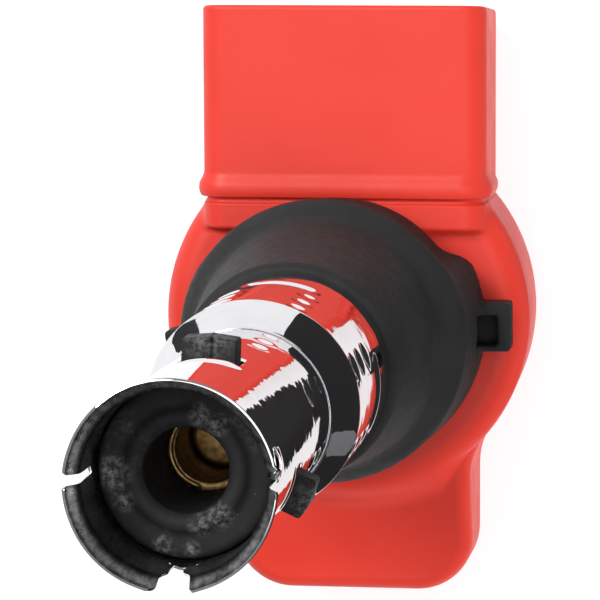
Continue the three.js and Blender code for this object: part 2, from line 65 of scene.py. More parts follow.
# Sizes in millimetres and angles in degrees. Most are the solid model's own.
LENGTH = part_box("lower_sleeve")[1].z / MM
HEAD_RADIUS = 23.6
HEAD_DRAFT, DRAFT_TOP = 0.4, 14.5
HEAD_HEIGHT, HEAD_WALL = 18.0, 2.2
COVER_LEDGE, COVER_DEPTH = 1.4, 2.0
PASSAGE_RADIUS, SEAT_PLAY = 9.0, 0.3
TAIL_HALF_WIDTH = 15.8
TAIL_REACH = 37.0
TAIL_HEIGHT = 10.0
TAIL_RISE = 14.5
TAIL_CORNER = 7.5
TAIL_FILLET = 9.0
RAMP_START, RAMP_RUN = -36.5, 17.0
SHROUD_HALF_WIDTH = 18.3
SHROUD_LOW, SHROUD_HIGH = 2.5, 20.0
SHROUD_START, SHROUD_END, SHROUD_LIP = 11.7, 39.0, 40.5
SHROUD_WALL, SHROUD_CORNER = 2.2, 3.2
BEAD_START, BEAD_END, BEAD_FOOT = 15.9, 17.9, 9.5
CREASE_PLACE, CREASE_ROUND = 15.45, 0.42
SOCKET_BACK, KEY_PLACE = 23.6, 12.0
PIN_PLACES = (-9.0, -3.0, 3.0, 9.0)
NECK_RADIUS, NECK_END = 14.5, 38.0
TUBE_RADIUS, TUBE_START = 12.0, 19.0
SHOULDER_START, SHOULDER_END = 93.0, 100.0
SLEEVE_RADIUS, SLEEVE_START, SLEEVE_SHEET = 9.6, 97.0, 0.28
SEAL_BACK, SEAL_EDGE, SEAL_TIP = 21.0, 41.0, 66.5
SEAL_RADIUS, SEAL_SIDE, SEAL_RELIEF = 18.3, 17.75, 16.3
CONE_RADIUS, CONE_SLOPE, FLANGE = 15.6, 0.105, 4.5
CUT_MIDDLE, CUT_HALF = 90.0, 60.0  # the seal's cut sector, in degrees
EAR_ANGLES, EAR_REACH, EAR_HALF = (0.5, 190.5), 22.1, 3.1
BOOT_RADIUS, BOOT_START, BOOT_FACE, BORE_RADIUS = 8.8, 99.5, 136.0, 4.4
COLLAR_LENGTH, COLLAR_RISE = 4.5, 0.35
LIP_RADIUS, LIP_ROUND = 5.5, 1.1
CUP_BORE_RADIUS, CUP_BORE_END = 6.9, 121.8
FLARE_RISE, FLARE_LENGTH = 1.22, 2.6
LUG_LEVEL, LUG_LENGTH, LUG_REACH = 122.0, 3.4, 12.0
LUGS = ((88.0, 5.8), (210.0, 5.8), (335.0, 4.4))  # angle and width
# Each window of the sleeve: its angle and half its width in degrees. All are twice WINDOW_HALF long.
WINDOW_HALF = 2.1
WINDOWS = [(angle, math.degrees((width / 2 + 0.45) / SLEEVE_RADIUS)) for angle, width in LUGS]


# ---------------------------------------------------------------- materials


class Nodes:
    """A material's node tree, with short calls for the nodes used here."""

    def __init__(self, name):
        self.material = bpy.data.materials.new(name)
        self.material.use_nodes = True
        self.tree = self.material.node_tree
        self.shader = self.tree.nodes["Principled BSDF"]
        self.place = self.tree.nodes.new("ShaderNodeTexCoord").outputs["Object"]

    def node(self, kind, **settings):
        made = self.tree.nodes.new("ShaderNode" + kind)
        for key, value in settings.items():
            setattr(made, key, value)
        return made

    def link(self, source, target):
        if hasattr(source, "is_output"):
            self.tree.links.new(source, target)
        else:
            target.default_value = source

    def stretch(self, scale):
        """Object coordinates, scaled by x, y and z."""
        made = self.node("Mapping")
        self.link(self.place, made.inputs["Vector"])
        made.inputs["Scale"].default_value = scale
        return made.outputs["Vector"]

    def noise(self, scale, detail=3.0, roughness=0.55, vector=None):
        """Noise whose scale is in features per metre."""
        made = self.node("TexNoise")
        self.link(vector or self.place, made.inputs["Vector"])
        made.inputs["Scale"].default_value = scale
        made.inputs["Detail"].default_value = detail
        made.inputs["Roughness"].default_value = roughness
        return made.outputs["Fac"]

    def cells(self, scale):
        """Distance to the nearest of scattered points, with scale points per metre."""
        made = self.node("TexVoronoi")
        self.link(self.place, made.inputs["Vector"])
        made.inputs["Scale"].default_value = scale
        return made.outputs["Distance"]

    def ramp(self, value, low, high, to_low=0.0, to_high=1.0):
        """value from low..high, smoothly, to to_low..to_high."""
        made = self.node("MapRange", interpolation_type="SMOOTHSTEP")
        self.link(value, made.inputs["Value"])
        made.inputs["From Min"].default_value = low
        made.inputs["From Max"].default_value = high
        made.inputs["To Min"].default_value = to_low
        made.inputs["To Max"].default_value = to_high
        return made.outputs["Result"]

    def maths(self, operation, a, b=0.0):
        made = self.node("Math", operation=operation)
        self.link(a, made.inputs[0])
        self.link(b, made.inputs[1])
        return made.outputs["Value"]

    def mix(self, share, a, b):
        """Colour a to colour b by share."""
        made = self.node("Mix", data_type="RGBA")
        self.link(share, made.inputs["Factor"])
        for value, socket in ((a, made.inputs["A"]), (b, made.inputs["B"])):
            self.link(value if hasattr(value, "is_output") else (*value, 1.0), socket)
        return made.outputs["Result"]

    def bump(self, height, distance, strength=1.0, below=None):
        """A normal from a height of 0 to 1 that stands for distance metres."""
        made = self.node("Bump")
        self.link(height, made.inputs["Height"])
        made.inputs["Distance"].default_value = distance
        made.inputs["Strength"].default_value = strength
        if below is not None:
            self.link(below, made.inputs["Normal"])
        return made.outputs["Normal"]

    def axis(self, name):
        """One object coordinate: X, Y or Z."""
        made = self.node("SeparateXYZ")
        self.link(self.place, made.inputs["Vector"])
        return made.outputs[name]

    def finish(self, colour=None, roughness=None, normal=None, **constants):
        """Connects the shader and sets its constant sockets."""
        if colour is not None:
            is_node = hasattr(colour, "is_output")
            self.link(colour if is_node else (*colour, 1.0), self.shader.inputs["Base Color"])
        if roughness is not None:
            self.link(roughness, self.shader.inputs["Roughness"])
        if normal is not None:
            self.link(normal, self.shader.inputs["Normal"])
        for key, value in constants.items():
            self.shader.inputs[key.replace("_", " ")].default_value = value
        return self.material


def red_plastic():
    """Glass-filled moulded plastic: even red, with a fine spark-eroded grain and slow flow shading."""
    n = Nodes("red_plastic")
    slow = n.noise(55, 2)
    grain = n.noise(5200, 2)
    colour = n.mix(n.ramp(slow, 0.3, 0.7), (0.555, 0.032, 0.019), (0.595, 0.037, 0.023))
    rough = n.ramp(n.noise(240, 3), 0.3, 0.7, 0.42, 0.50)
    normal = n.bump(grain, 0.00002, 0.35, n.bump(n.noise(380, 2), 0.00003, 0.25))
    return n.finish(colour, rough, normal, Specular_IOR_Level=0.25)


def black_rubber(name, base=0.024, dust_and_highlight=0.0, dust_and_highlight_patches=()):
    """Matt silicone rubber, with dry dust thin all over, and lighter patches of (x, y, z, reach) in mm that
    hold thick dust in some places and a painted highlight in others.
    """
    n = Nodes(name)
    mottle = n.ramp(n.noise(150, 3), 0.3, 0.7)
    colour = n.mix(mottle, (base * 0.9, base * 0.9, base * 0.93), (base * 1.12, base * 1.12, base * 1.16))
    if dust_and_highlight:
        fine = n.ramp(n.noise(1500, 5, 0.7), 0.40, 0.66)
        share = n.ramp(n.noise(160, 4, 0.6), 0.52, 0.74, 0.0, 0.35)
        # The patches lighten the rubber to light grey: thick dust, and along the bore lip a painted
        # highlight.
        for x, y, z, reach in dust_and_highlight_patches:
            apart = n.node("VectorMath", operation="DISTANCE")
            n.link(n.place, apart.inputs[0])
            apart.inputs[1].default_value = (x * MM, y * MM, z * MM)
            near = n.ramp(apart.outputs["Value"], reach * MM, reach * 0.25 * MM)
            share = n.maths("MAXIMUM", share, near)
        dust_and_highlight_film = n.maths("MULTIPLY", n.maths("MULTIPLY", share, fine), dust_and_highlight)
        colour = n.mix(dust_and_highlight_film, colour, (0.15, 0.15, 0.155))
        specks = n.ramp(n.cells(1700), 0.09, 0.03)
        chance = n.ramp(n.noise(600, 1), 0.60, 0.68)
        grains = n.maths("MULTIPLY", n.maths("MULTIPLY", specks, chance), dust_and_highlight)
        colour = n.mix(grains, colour, (0.30, 0.30, 0.30))
    rough = n.ramp(n.noise(900, 3), 0.3, 0.7, 0.56, 0.68)
    normal = n.bump(n.noise(2600, 3), 0.00001, 0.2)
    return n.finish(colour, rough, normal, Specular_IOR_Level=0.12)


def plated_steel():
    """Bright plated, deep drawn sheet: mirror-like, with drawing ripples, faint smears and pinholes."""
    n = Nodes("plated_steel")
    shade = 0.64
    smear = n.ramp(n.noise(260, 4, 0.6), 0.35, 0.8)
    colour = n.mix(smear, (shade, shade, shade * 1.02), (shade * 0.92, shade * 0.92, shade * 0.95))
    pits = n.ramp(n.cells(1500), 0.06, 0.02)
    chance = n.ramp(n.noise(420, 1), 0.66, 0.70)
    colour = n.mix(n.maths("MULTIPLY", pits, chance), colour, (0.30, 0.30, 0.31))
    rough = n.ramp(n.noise(500, 4, 0.6), 0.4, 0.8, 0.02, 0.06)
    # The drawing ripples come and go over the sheet: reflections are ragged in one place, clean in another.
    teeth = n.noise(1.0, 1.0, 0.4, n.stretch((300, 300, 420)))
    where = n.ramp(n.noise(110, 1), 0.38, 0.62, 0.25, 1.0)
    normal = n.bump(n.maths("MULTIPLY", teeth, where), 0.000026, 1.0)
    swell = n.noise(1.0, 2, 0.5, n.stretch((240, 240, 60)))
    normal = n.bump(swell, 0.000018, 1.0, normal)
    return n.finish(colour, rough, normal, Metallic=1.0)


def rubbed_steel():
    """The inside of the sleeve, rubbed dull and streaked along its length."""
    n = Nodes("rubbed_steel")
    streak = n.ramp(n.noise(1.0, 4, 0.6, n.stretch((1500, 1500, 220))), 0.3, 0.7)
    colour = n.mix(streak, (0.14, 0.14, 0.145), (0.26, 0.26, 0.27))
    rim = n.ramp(n.axis("Z"), (LENGTH - 1.9) * MM, (LENGTH - 1.0) * MM)
    polish = n.maths("MULTIPLY", rim, n.ramp(streak, 0.0, 1.0, 0.45, 1.0))
    colour = n.mix(polish, colour, (0.85, 0.85, 0.86))
    rough = n.ramp(n.noise(800, 4), 0.3, 0.7, 0.26, 0.36)
    return n.finish(colour, rough, n.bump(streak, 0.000006, 0.5), Metallic=1.0)


def metal(name, colour, worn, roughness):
    """A plainer metal whose colour and roughness wander between fresh and worn."""
    n = Nodes(name)
    share = n.ramp(n.noise(900, 4, 0.6), 0.35, 0.7)
    rough = n.ramp(n.noise(1800, 3), 0.3, 0.7, roughness * 0.8, roughness * 1.25)
    normal = n.bump(n.noise(2700, 2), 0.00001, 0.6)
    return n.finish(n.mix(share, colour, worn), rough, normal, Metallic=1.0)


def moulding(name, colour, other, roughness, grain=700):
    """A plain non-metal whose colour wanders a little, with a fine grain."""
    n = Nodes(name)
    share = n.ramp(n.noise(grain, 3), 0.35, 0.65)
    rough = n.ramp(n.noise(grain * 2, 2), 0.3, 0.7, roughness * 0.9, roughness * 1.1)
    normal = n.bump(n.noise(grain * 5, 2), 0.00002, 0.5)
    return n.finish(n.mix(share, colour, other), rough, normal)


def winding_copper():
    """Enamelled wire laid turn by turn along Z, with painted shade in the grooves between turns."""
    n = Nodes("enamelled_copper")
    turns = n.node("TexWave", wave_type="BANDS", bands_direction="Z")
    n.link(n.place, turns.inputs["Vector"])
    turns.inputs["Scale"].default_value = 520.0
    turns.inputs["Distortion"].default_value = 0.4
    # Painted shade: the colour is darker where the bump is low, in the grooves between turns, and lighter
    # on their crowns.
    colour = n.mix(turns.outputs["Fac"], (0.30, 0.10, 0.035), (0.62, 0.26, 0.11))
    normal = n.bump(turns.outputs["Fac"], 0.00012, 0.8)
    return n.finish(colour, 0.32, normal, Metallic=1.0)


def laminated_steel():
    """A stack of thin silicon steel strips, seen edge on."""
    n = Nodes("silicon_steel")
    strips = n.node("TexWave", wave_type="BANDS", bands_direction="X")
    n.link(n.place, strips.inputs["Vector"])
    strips.inputs["Scale"].default_value = 600.0
    colour = n.mix(strips.outputs["Fac"], (0.20, 0.20, 0.21), (0.42, 0.42, 0.44))
    return n.finish(colour, 0.42, n.bump(strips.outputs["Fac"], 0.00004, 0.5), Metallic=1.0)


MATERIALS = {
    "red_plastic": red_plastic(),
    "black_rubber": black_rubber("black_rubber"),
    "plated_steel": plated_steel(),
    "contact_brass": metal("contact_brass", (0.34, 0.225, 0.095), (0.19, 0.11, 0.045), 0.46),
    "spring_steel": metal("spring_steel", (0.50, 0.50, 0.51), (0.32, 0.31, 0.30), 0.28),
    "tinned_copper": metal("tinned_copper", (0.74, 0.71, 0.66), (0.62, 0.56, 0.48), 0.3),
    "enamelled_copper": winding_copper(),
    "silicon_steel": laminated_steel(),
    "magnet": metal("magnet", (0.26, 0.26, 0.28), (0.18, 0.18, 0.19), 0.5),
    "white_moulding": moulding("white_moulding", (0.70, 0.66, 0.58), (0.64, 0.60, 0.52), 0.55),
    "board_laminate": moulding("board_laminate", (0.03, 0.17, 0.09), (0.02, 0.12, 0.06), 0.45),
    "epoxy_black": moulding("epoxy_black", (0.022, 0.022, 0.024), (0.035, 0.035, 0.036), 0.5),
    "aluminium": metal("aluminium", (0.70, 0.71, 0.72), (0.58, 0.59, 0.60), 0.36),
    "capacitor_film": moulding("capacitor_film", (0.52, 0.34, 0.15), (0.44, 0.28, 0.11), 0.4),
    "potting": moulding("potting", (0.05, 0.028, 0.012), (0.035, 0.02, 0.01), 0.2, 200),
    "cushion_foam": moulding("cushion_foam", (0.30, 0.30, 0.31), (0.22, 0.22, 0.23), 0.85, 1500),
    "ceramic": moulding("ceramic", (0.80, 0.77, 0.70), (0.72, 0.69, 0.62), 0.5),
}


# ---------------------------------------------------------------- mesh making


def add_piece(name, points, faces, material, nodes, body=BODY, normals=None, sharp=None):
    """A mesh object in metres from points in millimetres, riding on a body and standing for CAD nodes."""
    mesh = bpy.data.meshes.new(name)
    mesh.from_pydata((np.asarray(points, float) * MM).tolist(), [], np.asarray(faces).tolist())
    mesh.shade_smooth()
    if normals is not None:
        mesh.normals_split_custom_set_from_vertices(np.asarray(normals, float).tolist())
    if sharp is not None:
        mesh.set_sharp_from_angle(angle=math.radians(sharp))
    piece = bpy.data.objects.new(name, mesh)
    bpy.context.scene.collection.objects.link(piece)
    mesh.materials.append(material)
    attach(piece, body)
    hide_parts(*nodes)
    return piece


def graded(low, high, coarse, *fine):
    """Grid lines from low to high, coarse apart, or closer inside each fine (from, to, step)."""
    lines, at = [low], low
    while at < high:
        step = coarse
        for start, end, small in fine:
            if start - coarse < at < end:
                step = min(step, small)
        at += step
        lines.append(at)
    return np.array(lines)


def surface(field, xs, ys, zs):
    """Points, quads and normals of the zero level of field(x, y, z), by surface nets on a graded grid."""
    grid = field(*np.meshgrid(xs, ys, zs, indexing="ij")).astype(np.float32)
    inside = grid < 0
    shape = np.array(grid.shape) - 1
    total = np.zeros((*shape, 3), np.float32)
    count = np.zeros(shape, np.int16)
    lines = (xs, ys, zs)
    corners = [(i, j, k) for i in (0, 1) for j in (0, 1) for k in (0, 1)]

    def part(array, corner, size=shape):
        return array[tuple(slice(c, c + s) for c, s in zip(corner, size))]

    for axis in range(3):
        for corner in corners:
            if corner[axis]:
                continue
            other = tuple(c + (a == axis) for a, c in enumerate(corner))
            crossed = part(inside, corner) != part(inside, other)
            where = np.nonzero(crossed)
            a, b = part(grid, corner)[where], part(grid, other)[where]
            share = a / (a - b)
            for out in range(3):
                start = lines[out][where[out] + corner[out]]
                if out == axis:
                    start = start + share * (lines[out][where[out] + 1] - start)
                total[(*where, out)] += start
            count[where] += 1
    cells = np.nonzero(count)
    points = (total[cells] / count[cells][:, None]).astype(float)
    number = np.full(shape, -1)
    number[cells] = np.arange(len(points))

    quads = []
    for axis in range(3):
        one, two = (axis + 1) % 3, (axis + 2) % 3
        begin = [0, 0, 0]
        begin[one] = begin[two] = 1
        size = np.array(grid.shape)
        size[axis] -= 1
        size[one] -= 2
        size[two] -= 2
        step = tuple(b + (a == axis) for a, b in enumerate(begin))
        low, high = part(inside, begin, size), part(inside, step, size)
        for leaving in (True, False):
            where = np.nonzero((low != high) & (low == leaving))
            at = [w + b for w, b in zip(where, begin)]
            ring = []
            for back_one, back_two in ((1, 1), (0, 1), (0, 0), (1, 0)):
                index = list(at)
                index[one] = index[one] - back_one
                index[two] = index[two] - back_two
                ring.append(number[tuple(index)])
            quads.append(np.stack(ring if leaving else ring[::-1], 1))
    quads = np.concatenate(quads)

    def slope(p, reach=0.02):
        found = np.empty_like(p)
        for out in range(3):
            shift = np.zeros(3)
            shift[out] = reach
            found[:, out] = field(*(p + shift).T) - field(*(p - shift).T)
        return found / np.maximum(np.linalg.norm(found, axis=1), 1e-9)[:, None]

    for _ in range(3):
        away = slope(points)
        step = np.clip(field(*points.T), -0.3, 0.3)
        points -= away * step[:, None]
    return points, quads, slope(points)


def smooth_step(x):
    x = np.clip(x, 0, 1)
    return x * x * (3 - 2 * x)


def rectangle(x, y, half_x, half_y, corner):
    """Distance to a rounded rectangle round the origin."""
    a = np.abs(x) - half_x + corner
    b = np.abs(y) - half_y + corner
    return np.hypot(np.maximum(a, 0), np.maximum(b, 0)) + np.minimum(np.maximum(a, b), 0) - corner


def join(a, b, fillet):
    """Both shapes, with a fillet where they meet."""
    outside = np.hypot(np.maximum(fillet - a, 0), np.maximum(fillet - b, 0))
    return np.maximum(fillet, np.minimum(a, b)) - outside


def common(a, b, edge):
    """What both shapes share, with a rounded edge."""
    inside = np.hypot(np.maximum(edge + a, 0), np.maximum(edge + b, 0))
    return np.minimum(-edge, np.maximum(a, b)) + inside


def cut(a, b, edge):
    """a without b, with a rounded edge."""
    return common(a, -b, edge)


def slab(value, low, high):
    return np.abs(value - (low + high) / 2) - (high - low) / 2


def brick(x, y, z, low, high, corner):
    """Distance to a box with rounded edges."""
    sides = [slab(v, a, b) + corner for v, a, b in zip((x, y, z), low, high)]
    out = np.sqrt(sum(np.maximum(s, 0) ** 2 for s in sides))
    return out + np.minimum(np.maximum(np.maximum(*sides[:2]), sides[2]), 0) - corner


def turn(x, y, degrees):
    """x and y as seen from a frame turned by degrees about Z."""
    c, s = math.cos(math.radians(degrees)), math.sin(math.radians(degrees))
    return c * x + s * y, c * y - s * x


# ---------------------------------------------------------------- head


def head_plan(x, y, inset, z=DRAFT_TOP):
    """The outline of the round body and the tail together, inset all round."""
    rim = HEAD_RADIUS - HEAD_DRAFT * np.clip(1 - z / DRAFT_TOP, 0, 1)
    middle = -TAIL_REACH / 2
    tail = rectangle(x, y - middle, TAIL_HALF_WIDTH, -middle, TAIL_CORNER)
    tail = np.maximum(tail, y)
    fillet_x = TAIL_HALF_WIDTH + TAIL_FILLET
    fillet_y = -math.sqrt((HEAD_RADIUS + TAIL_FILLET) ** 2 - fillet_x ** 2)
    inner = (fillet_x * y - fillet_y * np.abs(x)) / (HEAD_RADIUS + TAIL_FILLET)
    hollow = TAIL_FILLET - np.hypot(np.abs(x) - fillet_x, y - fillet_y)
    web = np.maximum(hollow, np.maximum(fillet_y - y, inner))
    return np.minimum(np.minimum(np.hypot(x, y) - rim, tail), web) + inset


def head_field(x, y, z):
    """Signed distance to the head moulding: body, tail, shroud, bead, neck and catch, less its hollows."""
    radius = np.hypot(x, y)
    rim = HEAD_RADIUS - HEAD_DRAFT * np.clip(1 - z / DRAFT_TOP, 0, 1)
    body = common(common(radius - rim, z - HEAD_HEIGHT, 3.5), -z, 0.8)
    ramp = TAIL_HEIGHT + (TAIL_RISE - TAIL_HEIGHT) * smooth_step((y - RAMP_START) / RAMP_RUN)
    tail = common(common(head_plan(x, y, 0, z), (z - ramp) * 0.9, 1.8), -z, 0.6)
    corner = 3 * smooth_step((TAIL_HALF_WIDTH + 0.5 - np.abs(x)) / 5) * smooth_step((-8 - y) / 6)
    solid = join(body, tail, np.maximum(corner, 1e-3))

    level = z - (SHROUD_LOW + SHROUD_HIGH) / 2
    half_height = (SHROUD_HIGH - SHROUD_LOW) / 2
    sides = rectangle(x, level, SHROUD_HALF_WIDTH, half_height, SHROUD_CORNER)
    lean = (SHROUD_LIP - SHROUD_END) * (z - SHROUD_LOW) / (SHROUD_HIGH - SHROUD_LOW)
    shroud = common(sides, np.maximum(SHROUD_START - y, y - SHROUD_END - lean), 0.5)
    bead = rectangle(x, level, SHROUD_HALF_WIDTH + 0.6, half_height + 0.38, SHROUD_CORNER + 0.6)
    bead = common(np.maximum(bead, BEAD_FOOT - z), slab(y, BEAD_START, BEAD_END), 0.9)
    shroud = join(shroud, bead, 1.2)
    crease = np.hypot(y - CREASE_PLACE, sides) - CREASE_ROUND
    shroud = cut(shroud, crease, 0.2)
    solid = join(solid, shroud, 0.7)
    neck = common(radius - NECK_RADIUS, slab(z, HEAD_HEIGHT - 2, NECK_END), 0.4)
    solid = join(solid, neck, 0.5)
    catch = brick(x, y, z, (-4, 32, 0.9), (4, 35, 4), 0.4)
    solid = join(solid, catch, 0.3)

    socket = rectangle(x, level, SHROUD_HALF_WIDTH - SHROUD_WALL, half_height - SHROUD_WALL, 1.2)
    socket = common(socket, slab(y, SOCKET_BACK, SHROUD_LIP + 5), 0.5)
    for side in (-1, 1):
        key = brick(x - side * KEY_PLACE, y, z, (-0.7, 20, 16.6), (0.7, 37.7, 19), 0.2)
        socket = cut(socket, key, 0.2)
    solid = cut(solid, socket, 0.45)
    for place in PIN_PLACES:
        slot = brick(x, y, z, (place - 1.7, 12, 10.5), (place + 1.7, 26, 11.9), 0.15)
        solid = cut(solid, slot, 0.15)

    # Hollows: the cover's recess, the well under it, the tube's seat in the neck and the way between them
    recess = np.maximum(head_plan(x, y, COVER_LEDGE), z - COVER_DEPTH)
    shallow = np.maximum(head_plan(x, y, HEAD_WALL), slab(z, 1, 8))
    deep = np.maximum(radius - HEAD_RADIUS + HEAD_WALL, slab(z, 1, 16))
    seat = np.maximum(radius - TUBE_RADIUS - SEAT_PLAY, slab(z, TUBE_START - SEAT_PLAY, NECK_END + 5))
    passage = np.maximum(radius - PASSAGE_RADIUS, slab(z, 15, 20))
    for hollow in (recess, shallow, deep, seat, passage):
        solid = np.maximum(solid, -hollow)
    return solid


def build_head():
    """The sampling grid is finer where the head has its edges and small details."""
    xs = graded(
        -25.5, 25.5, 0.72, (-20, -15.4, 0.3), (15.4, 20, 0.3),
        (-11, -1, 0.5), (1, 11, 0.5), (-25.5, -22.5, 0.5), (22.5, 25.5, 0.5),
    )
    ys = graded(-38, 41.7, 0.72, (-38, -34.5, 0.45), (10.8, 19.4, 0.26), (37.8, 40.8, 0.3), (-26, -20, 0.5))
    zs = graded(-0.8, 39, 0.72, (-0.8, 3.5, 0.35), (8, 12.5, 0.35), (13.5, 21.5, 0.32))
    points, quads, normals = surface(head_field, xs, ys, zs)
    add_piece(
        "head_moulding", points, quads, MATERIALS["red_plastic"], ["head_housing"],
        normals=normals,
    )


# ---------------------------------------------------------------- seal


def seal_field(x, y, z):
    """Signed distance to the rubber seal: cone, back flange, cut sector and ears."""
    radius = np.hypot(x, y)
    side = common(radius - SEAL_SIDE, z - SEAL_EDGE, 3.3)
    cone = common(radius - CONE_RADIUS + (z - SEAL_EDGE) * CONE_SLOPE, z - SEAL_TIP, 1.0)
    flange = common(radius - SEAL_RADIUS, slab(z, SEAL_BACK, SEAL_BACK + FLANGE), 0.4)
    seal = join(join(side, cone, 3), flange, 0.4)
    seal = np.maximum(seal, SEAL_BACK - z)
    sector = np.abs(wrapped(np.degrees(np.arctan2(y, x)) - CUT_MIDDLE)) - CUT_HALF
    relief = common(sector * np.pi / 180 * radius, np.maximum(SEAL_RELIEF - radius, z - 37), 3.0)
    seal = cut(seal, relief, 2.6)
    for degrees in EAR_ANGLES:
        u, v = turn(x, y, degrees)
        low, high = (SEAL_RELIEF, -EAR_HALF, SEAL_BACK), (EAR_REACH, EAR_HALF, SEAL_BACK + FLANGE)
        ear = brick(u, v, z, low, high, 0.5)
        seal = join(seal, ear, 0.5)
        pocket = brick(u, v, z, (17.0, -2.3, SEAL_BACK + 1), (20.5, 1.5, 28), 0.4)
        seal = cut(seal, pocket, 0.3)
    seal = np.maximum(seal, TUBE_RADIUS - 0.4 - radius)
    return np.maximum(seal, -np.maximum(radius - NECK_RADIUS - 0.3, z - 38.3))


def build_seal():
    xs = graded(-23.2, 23.2, 0.45, (-23.2, -16, 0.36), (16, 23.2, 0.36))
    ys = graded(-19, 19, 0.45, (-4.5, 4.5, 0.36))
    zs = graded(20.2, 67.6, 0.7, (20.2, 27, 0.34), (36, 43, 0.35), (63.5, 67.6, 0.25))
    points, quads, normals = surface(seal_field, xs, ys, zs)
    add_piece(
        "rubber_seal", points, quads, MATERIALS["seal"], ["well_seal"],
        normals=normals,
    )


# ---------------------------------------------------------------- boot


def boot_field(x, y, z):
    """Signed distance to the boot, with a slightly larger front and a raised lip round its bore."""
    radius = np.hypot(x, y)
    boot = common(radius - BOOT_RADIUS, slab(z, BOOT_START, BOOT_FACE - 0.8), 0.7)
    collar = radius - BOOT_RADIUS - COLLAR_RISE
    collar = common(collar, slab(z, BOOT_FACE - COLLAR_LENGTH, BOOT_FACE - 0.8), 0.7)
    boot = join(boot, collar, 0.4)
    lip = np.hypot(radius - LIP_RADIUS, z - BOOT_FACE + LIP_ROUND) - LIP_ROUND
    boot = common(join(boot, lip, 0.5), BORE_RADIUS - radius, 0.3)
    return np.maximum(boot, -np.maximum(radius - CUP_BORE_RADIUS, z - CUP_BORE_END))


def lug_field(x, y, z):
    """Signed distance to the boot's lugs, each with a thin moulding flash along its middle."""
    lugs = np.full(np.shape(x), 9.0)
    low, high, root = LUG_LEVEL - LUG_LENGTH / 2, LUG_LEVEL + LUG_LENGTH / 2, BOOT_RADIUS - 0.6
    for degrees, width in LUGS:
        u, v = turn(x, y, degrees)
        ridge = 0.3 * np.clip(np.abs(v) * 2 / width, 0, 1)
        lug = brick(u + ridge, v, z, (root, -width / 2, low), (LUG_REACH, width / 2, high), 0.25)
        flash = brick(u, v + 0.1, z, (root, -0.2, low - 0.2), (LUG_REACH + 0.02, 0.2, high + 0.2), 0.12)
        lugs = np.minimum(lugs, join(lug, flash, 0.1))
    return lugs


def build_boot():
    across = graded(-9.6, 9.6, 0.36)
    zs = graded(98.8, 137.2, 0.6, (98.8, 101.5, 0.4), (133.5, 137.2, 0.24))
    points, quads, normals = surface(boot_field, across, across, zs)
    add_piece(
        "plug_boot", points, quads, MATERIALS["boot"], ["spark_plug_boot"],
        normals=normals,
    )
    across = graded(-12.4, 12.4, 0.25)
    points, quads, normals = surface(lug_field, across, across, graded(119.5, 124.5, 0.22))
    lugs = add_piece(
        "boot_lugs", points, quads, MATERIALS["boot"], ["spark_plug_boot"],
        normals=normals,
    )
    lugs.visible_glossy = False


# ---------------------------------------------------------------- sheet metal


def lathe(profile, facets):
    """Points and quads of an open profile of (radius, height), turned about Z."""
    profile = np.array(profile)
    angles = np.linspace(0, 2 * np.pi, facets, endpoint=False)
    points = np.stack([
        np.outer(np.cos(angles), profile[:, 0]),
        np.outer(np.sin(angles), profile[:, 0]),
        np.tile(profile[:, 1], (facets, 1)),
    ], -1).reshape(-1, 3)
    return points, grid_quads(facets, len(profile), True, False)


def grid_quads(rows, columns, wrap_rows, wrap_columns):
    """Quads of a grid of points, row by row, that wraps round where asked."""
    i, j = np.meshgrid(
        np.arange(rows if wrap_rows else rows - 1),
        np.arange(columns if wrap_columns else columns - 1),
        indexing="ij",
    )
    i, j = i.ravel(), j.ravel()
    k, m = (i + 1) % rows, (j + 1) % columns
    return np.stack([i * columns + j, k * columns + j, k * columns + m, i * columns + m], 1)


def arc(centre, radius, start, end, steps):
    """Points on an arc of a profile, both ends included, in degrees."""
    angles = np.radians(np.linspace(start, end, steps + 1))
    return [(centre[0] + radius * math.cos(a), centre[1] + radius * math.sin(a)) for a in angles]


def wrapped(degrees):
    return (degrees + 180) % 360 - 180


def pressed(theta, z, marks):
    """Depth of pressed marks at each angle and height. A mark is (angle, height, half angle, half height,
    depth), in degrees and millimetres."""
    depth = np.zeros(np.shape(theta))
    for angle, height, half_angle, half_height, deep in marks:
        a = wrapped(theta - angle) / half_angle
        b = (z - height) / half_height
        depth += deep * (1 - smooth_step(np.sqrt(a * a + b * b)))
    return depth


def slots(theta, z, marks):
    """Depth of long rolled grooves, given as pressed marks are: flat along the middle, round across."""
    depth = np.zeros(np.shape(theta))
    for angle, height, half_angle, half_height, deep in marks:
        across = 1 - smooth_step(np.abs(z - height) / half_height)
        along = 1 - smooth_step((np.abs(wrapped(theta - angle)) - half_angle * 0.75) / (half_angle * 0.35))
        depth += deep * across * along
    return depth


DIMPLE_ANGLES = [22.5 + 45 * k for k in range(8)]
TUBE_DIMPLES = [(a - 1, z, 8.5, 1.7, 0.24) for a in DIMPLE_ANGLES for z in (82.2, 86.8, 91.2)]
TUBE_GROOVES = [(86 + 90 * k, 77.2, 22, 1.9, 0.32) for k in range(4)]
SLEEVE_DIMPLES = [(a + 2, z, 9.0, 1.5, 0.22) for a in DIMPLE_ANGLES for z in (101.6, 105.4, 109.2)]


def angle_lines(coarse, near, reach, fine):
    """Angles round the shaft, coarse apart, or fine apart within reach of the near angles."""
    marks = list(np.arange(0, 360, coarse))
    for angle in near:
        marks += list(np.arange(angle - reach, angle + reach + fine / 2, fine) % 360)
    marks = np.unique(np.round(marks, 4))
    keep = np.diff(np.append(marks, marks[0] + 360)) > fine * 0.45
    return marks[keep]


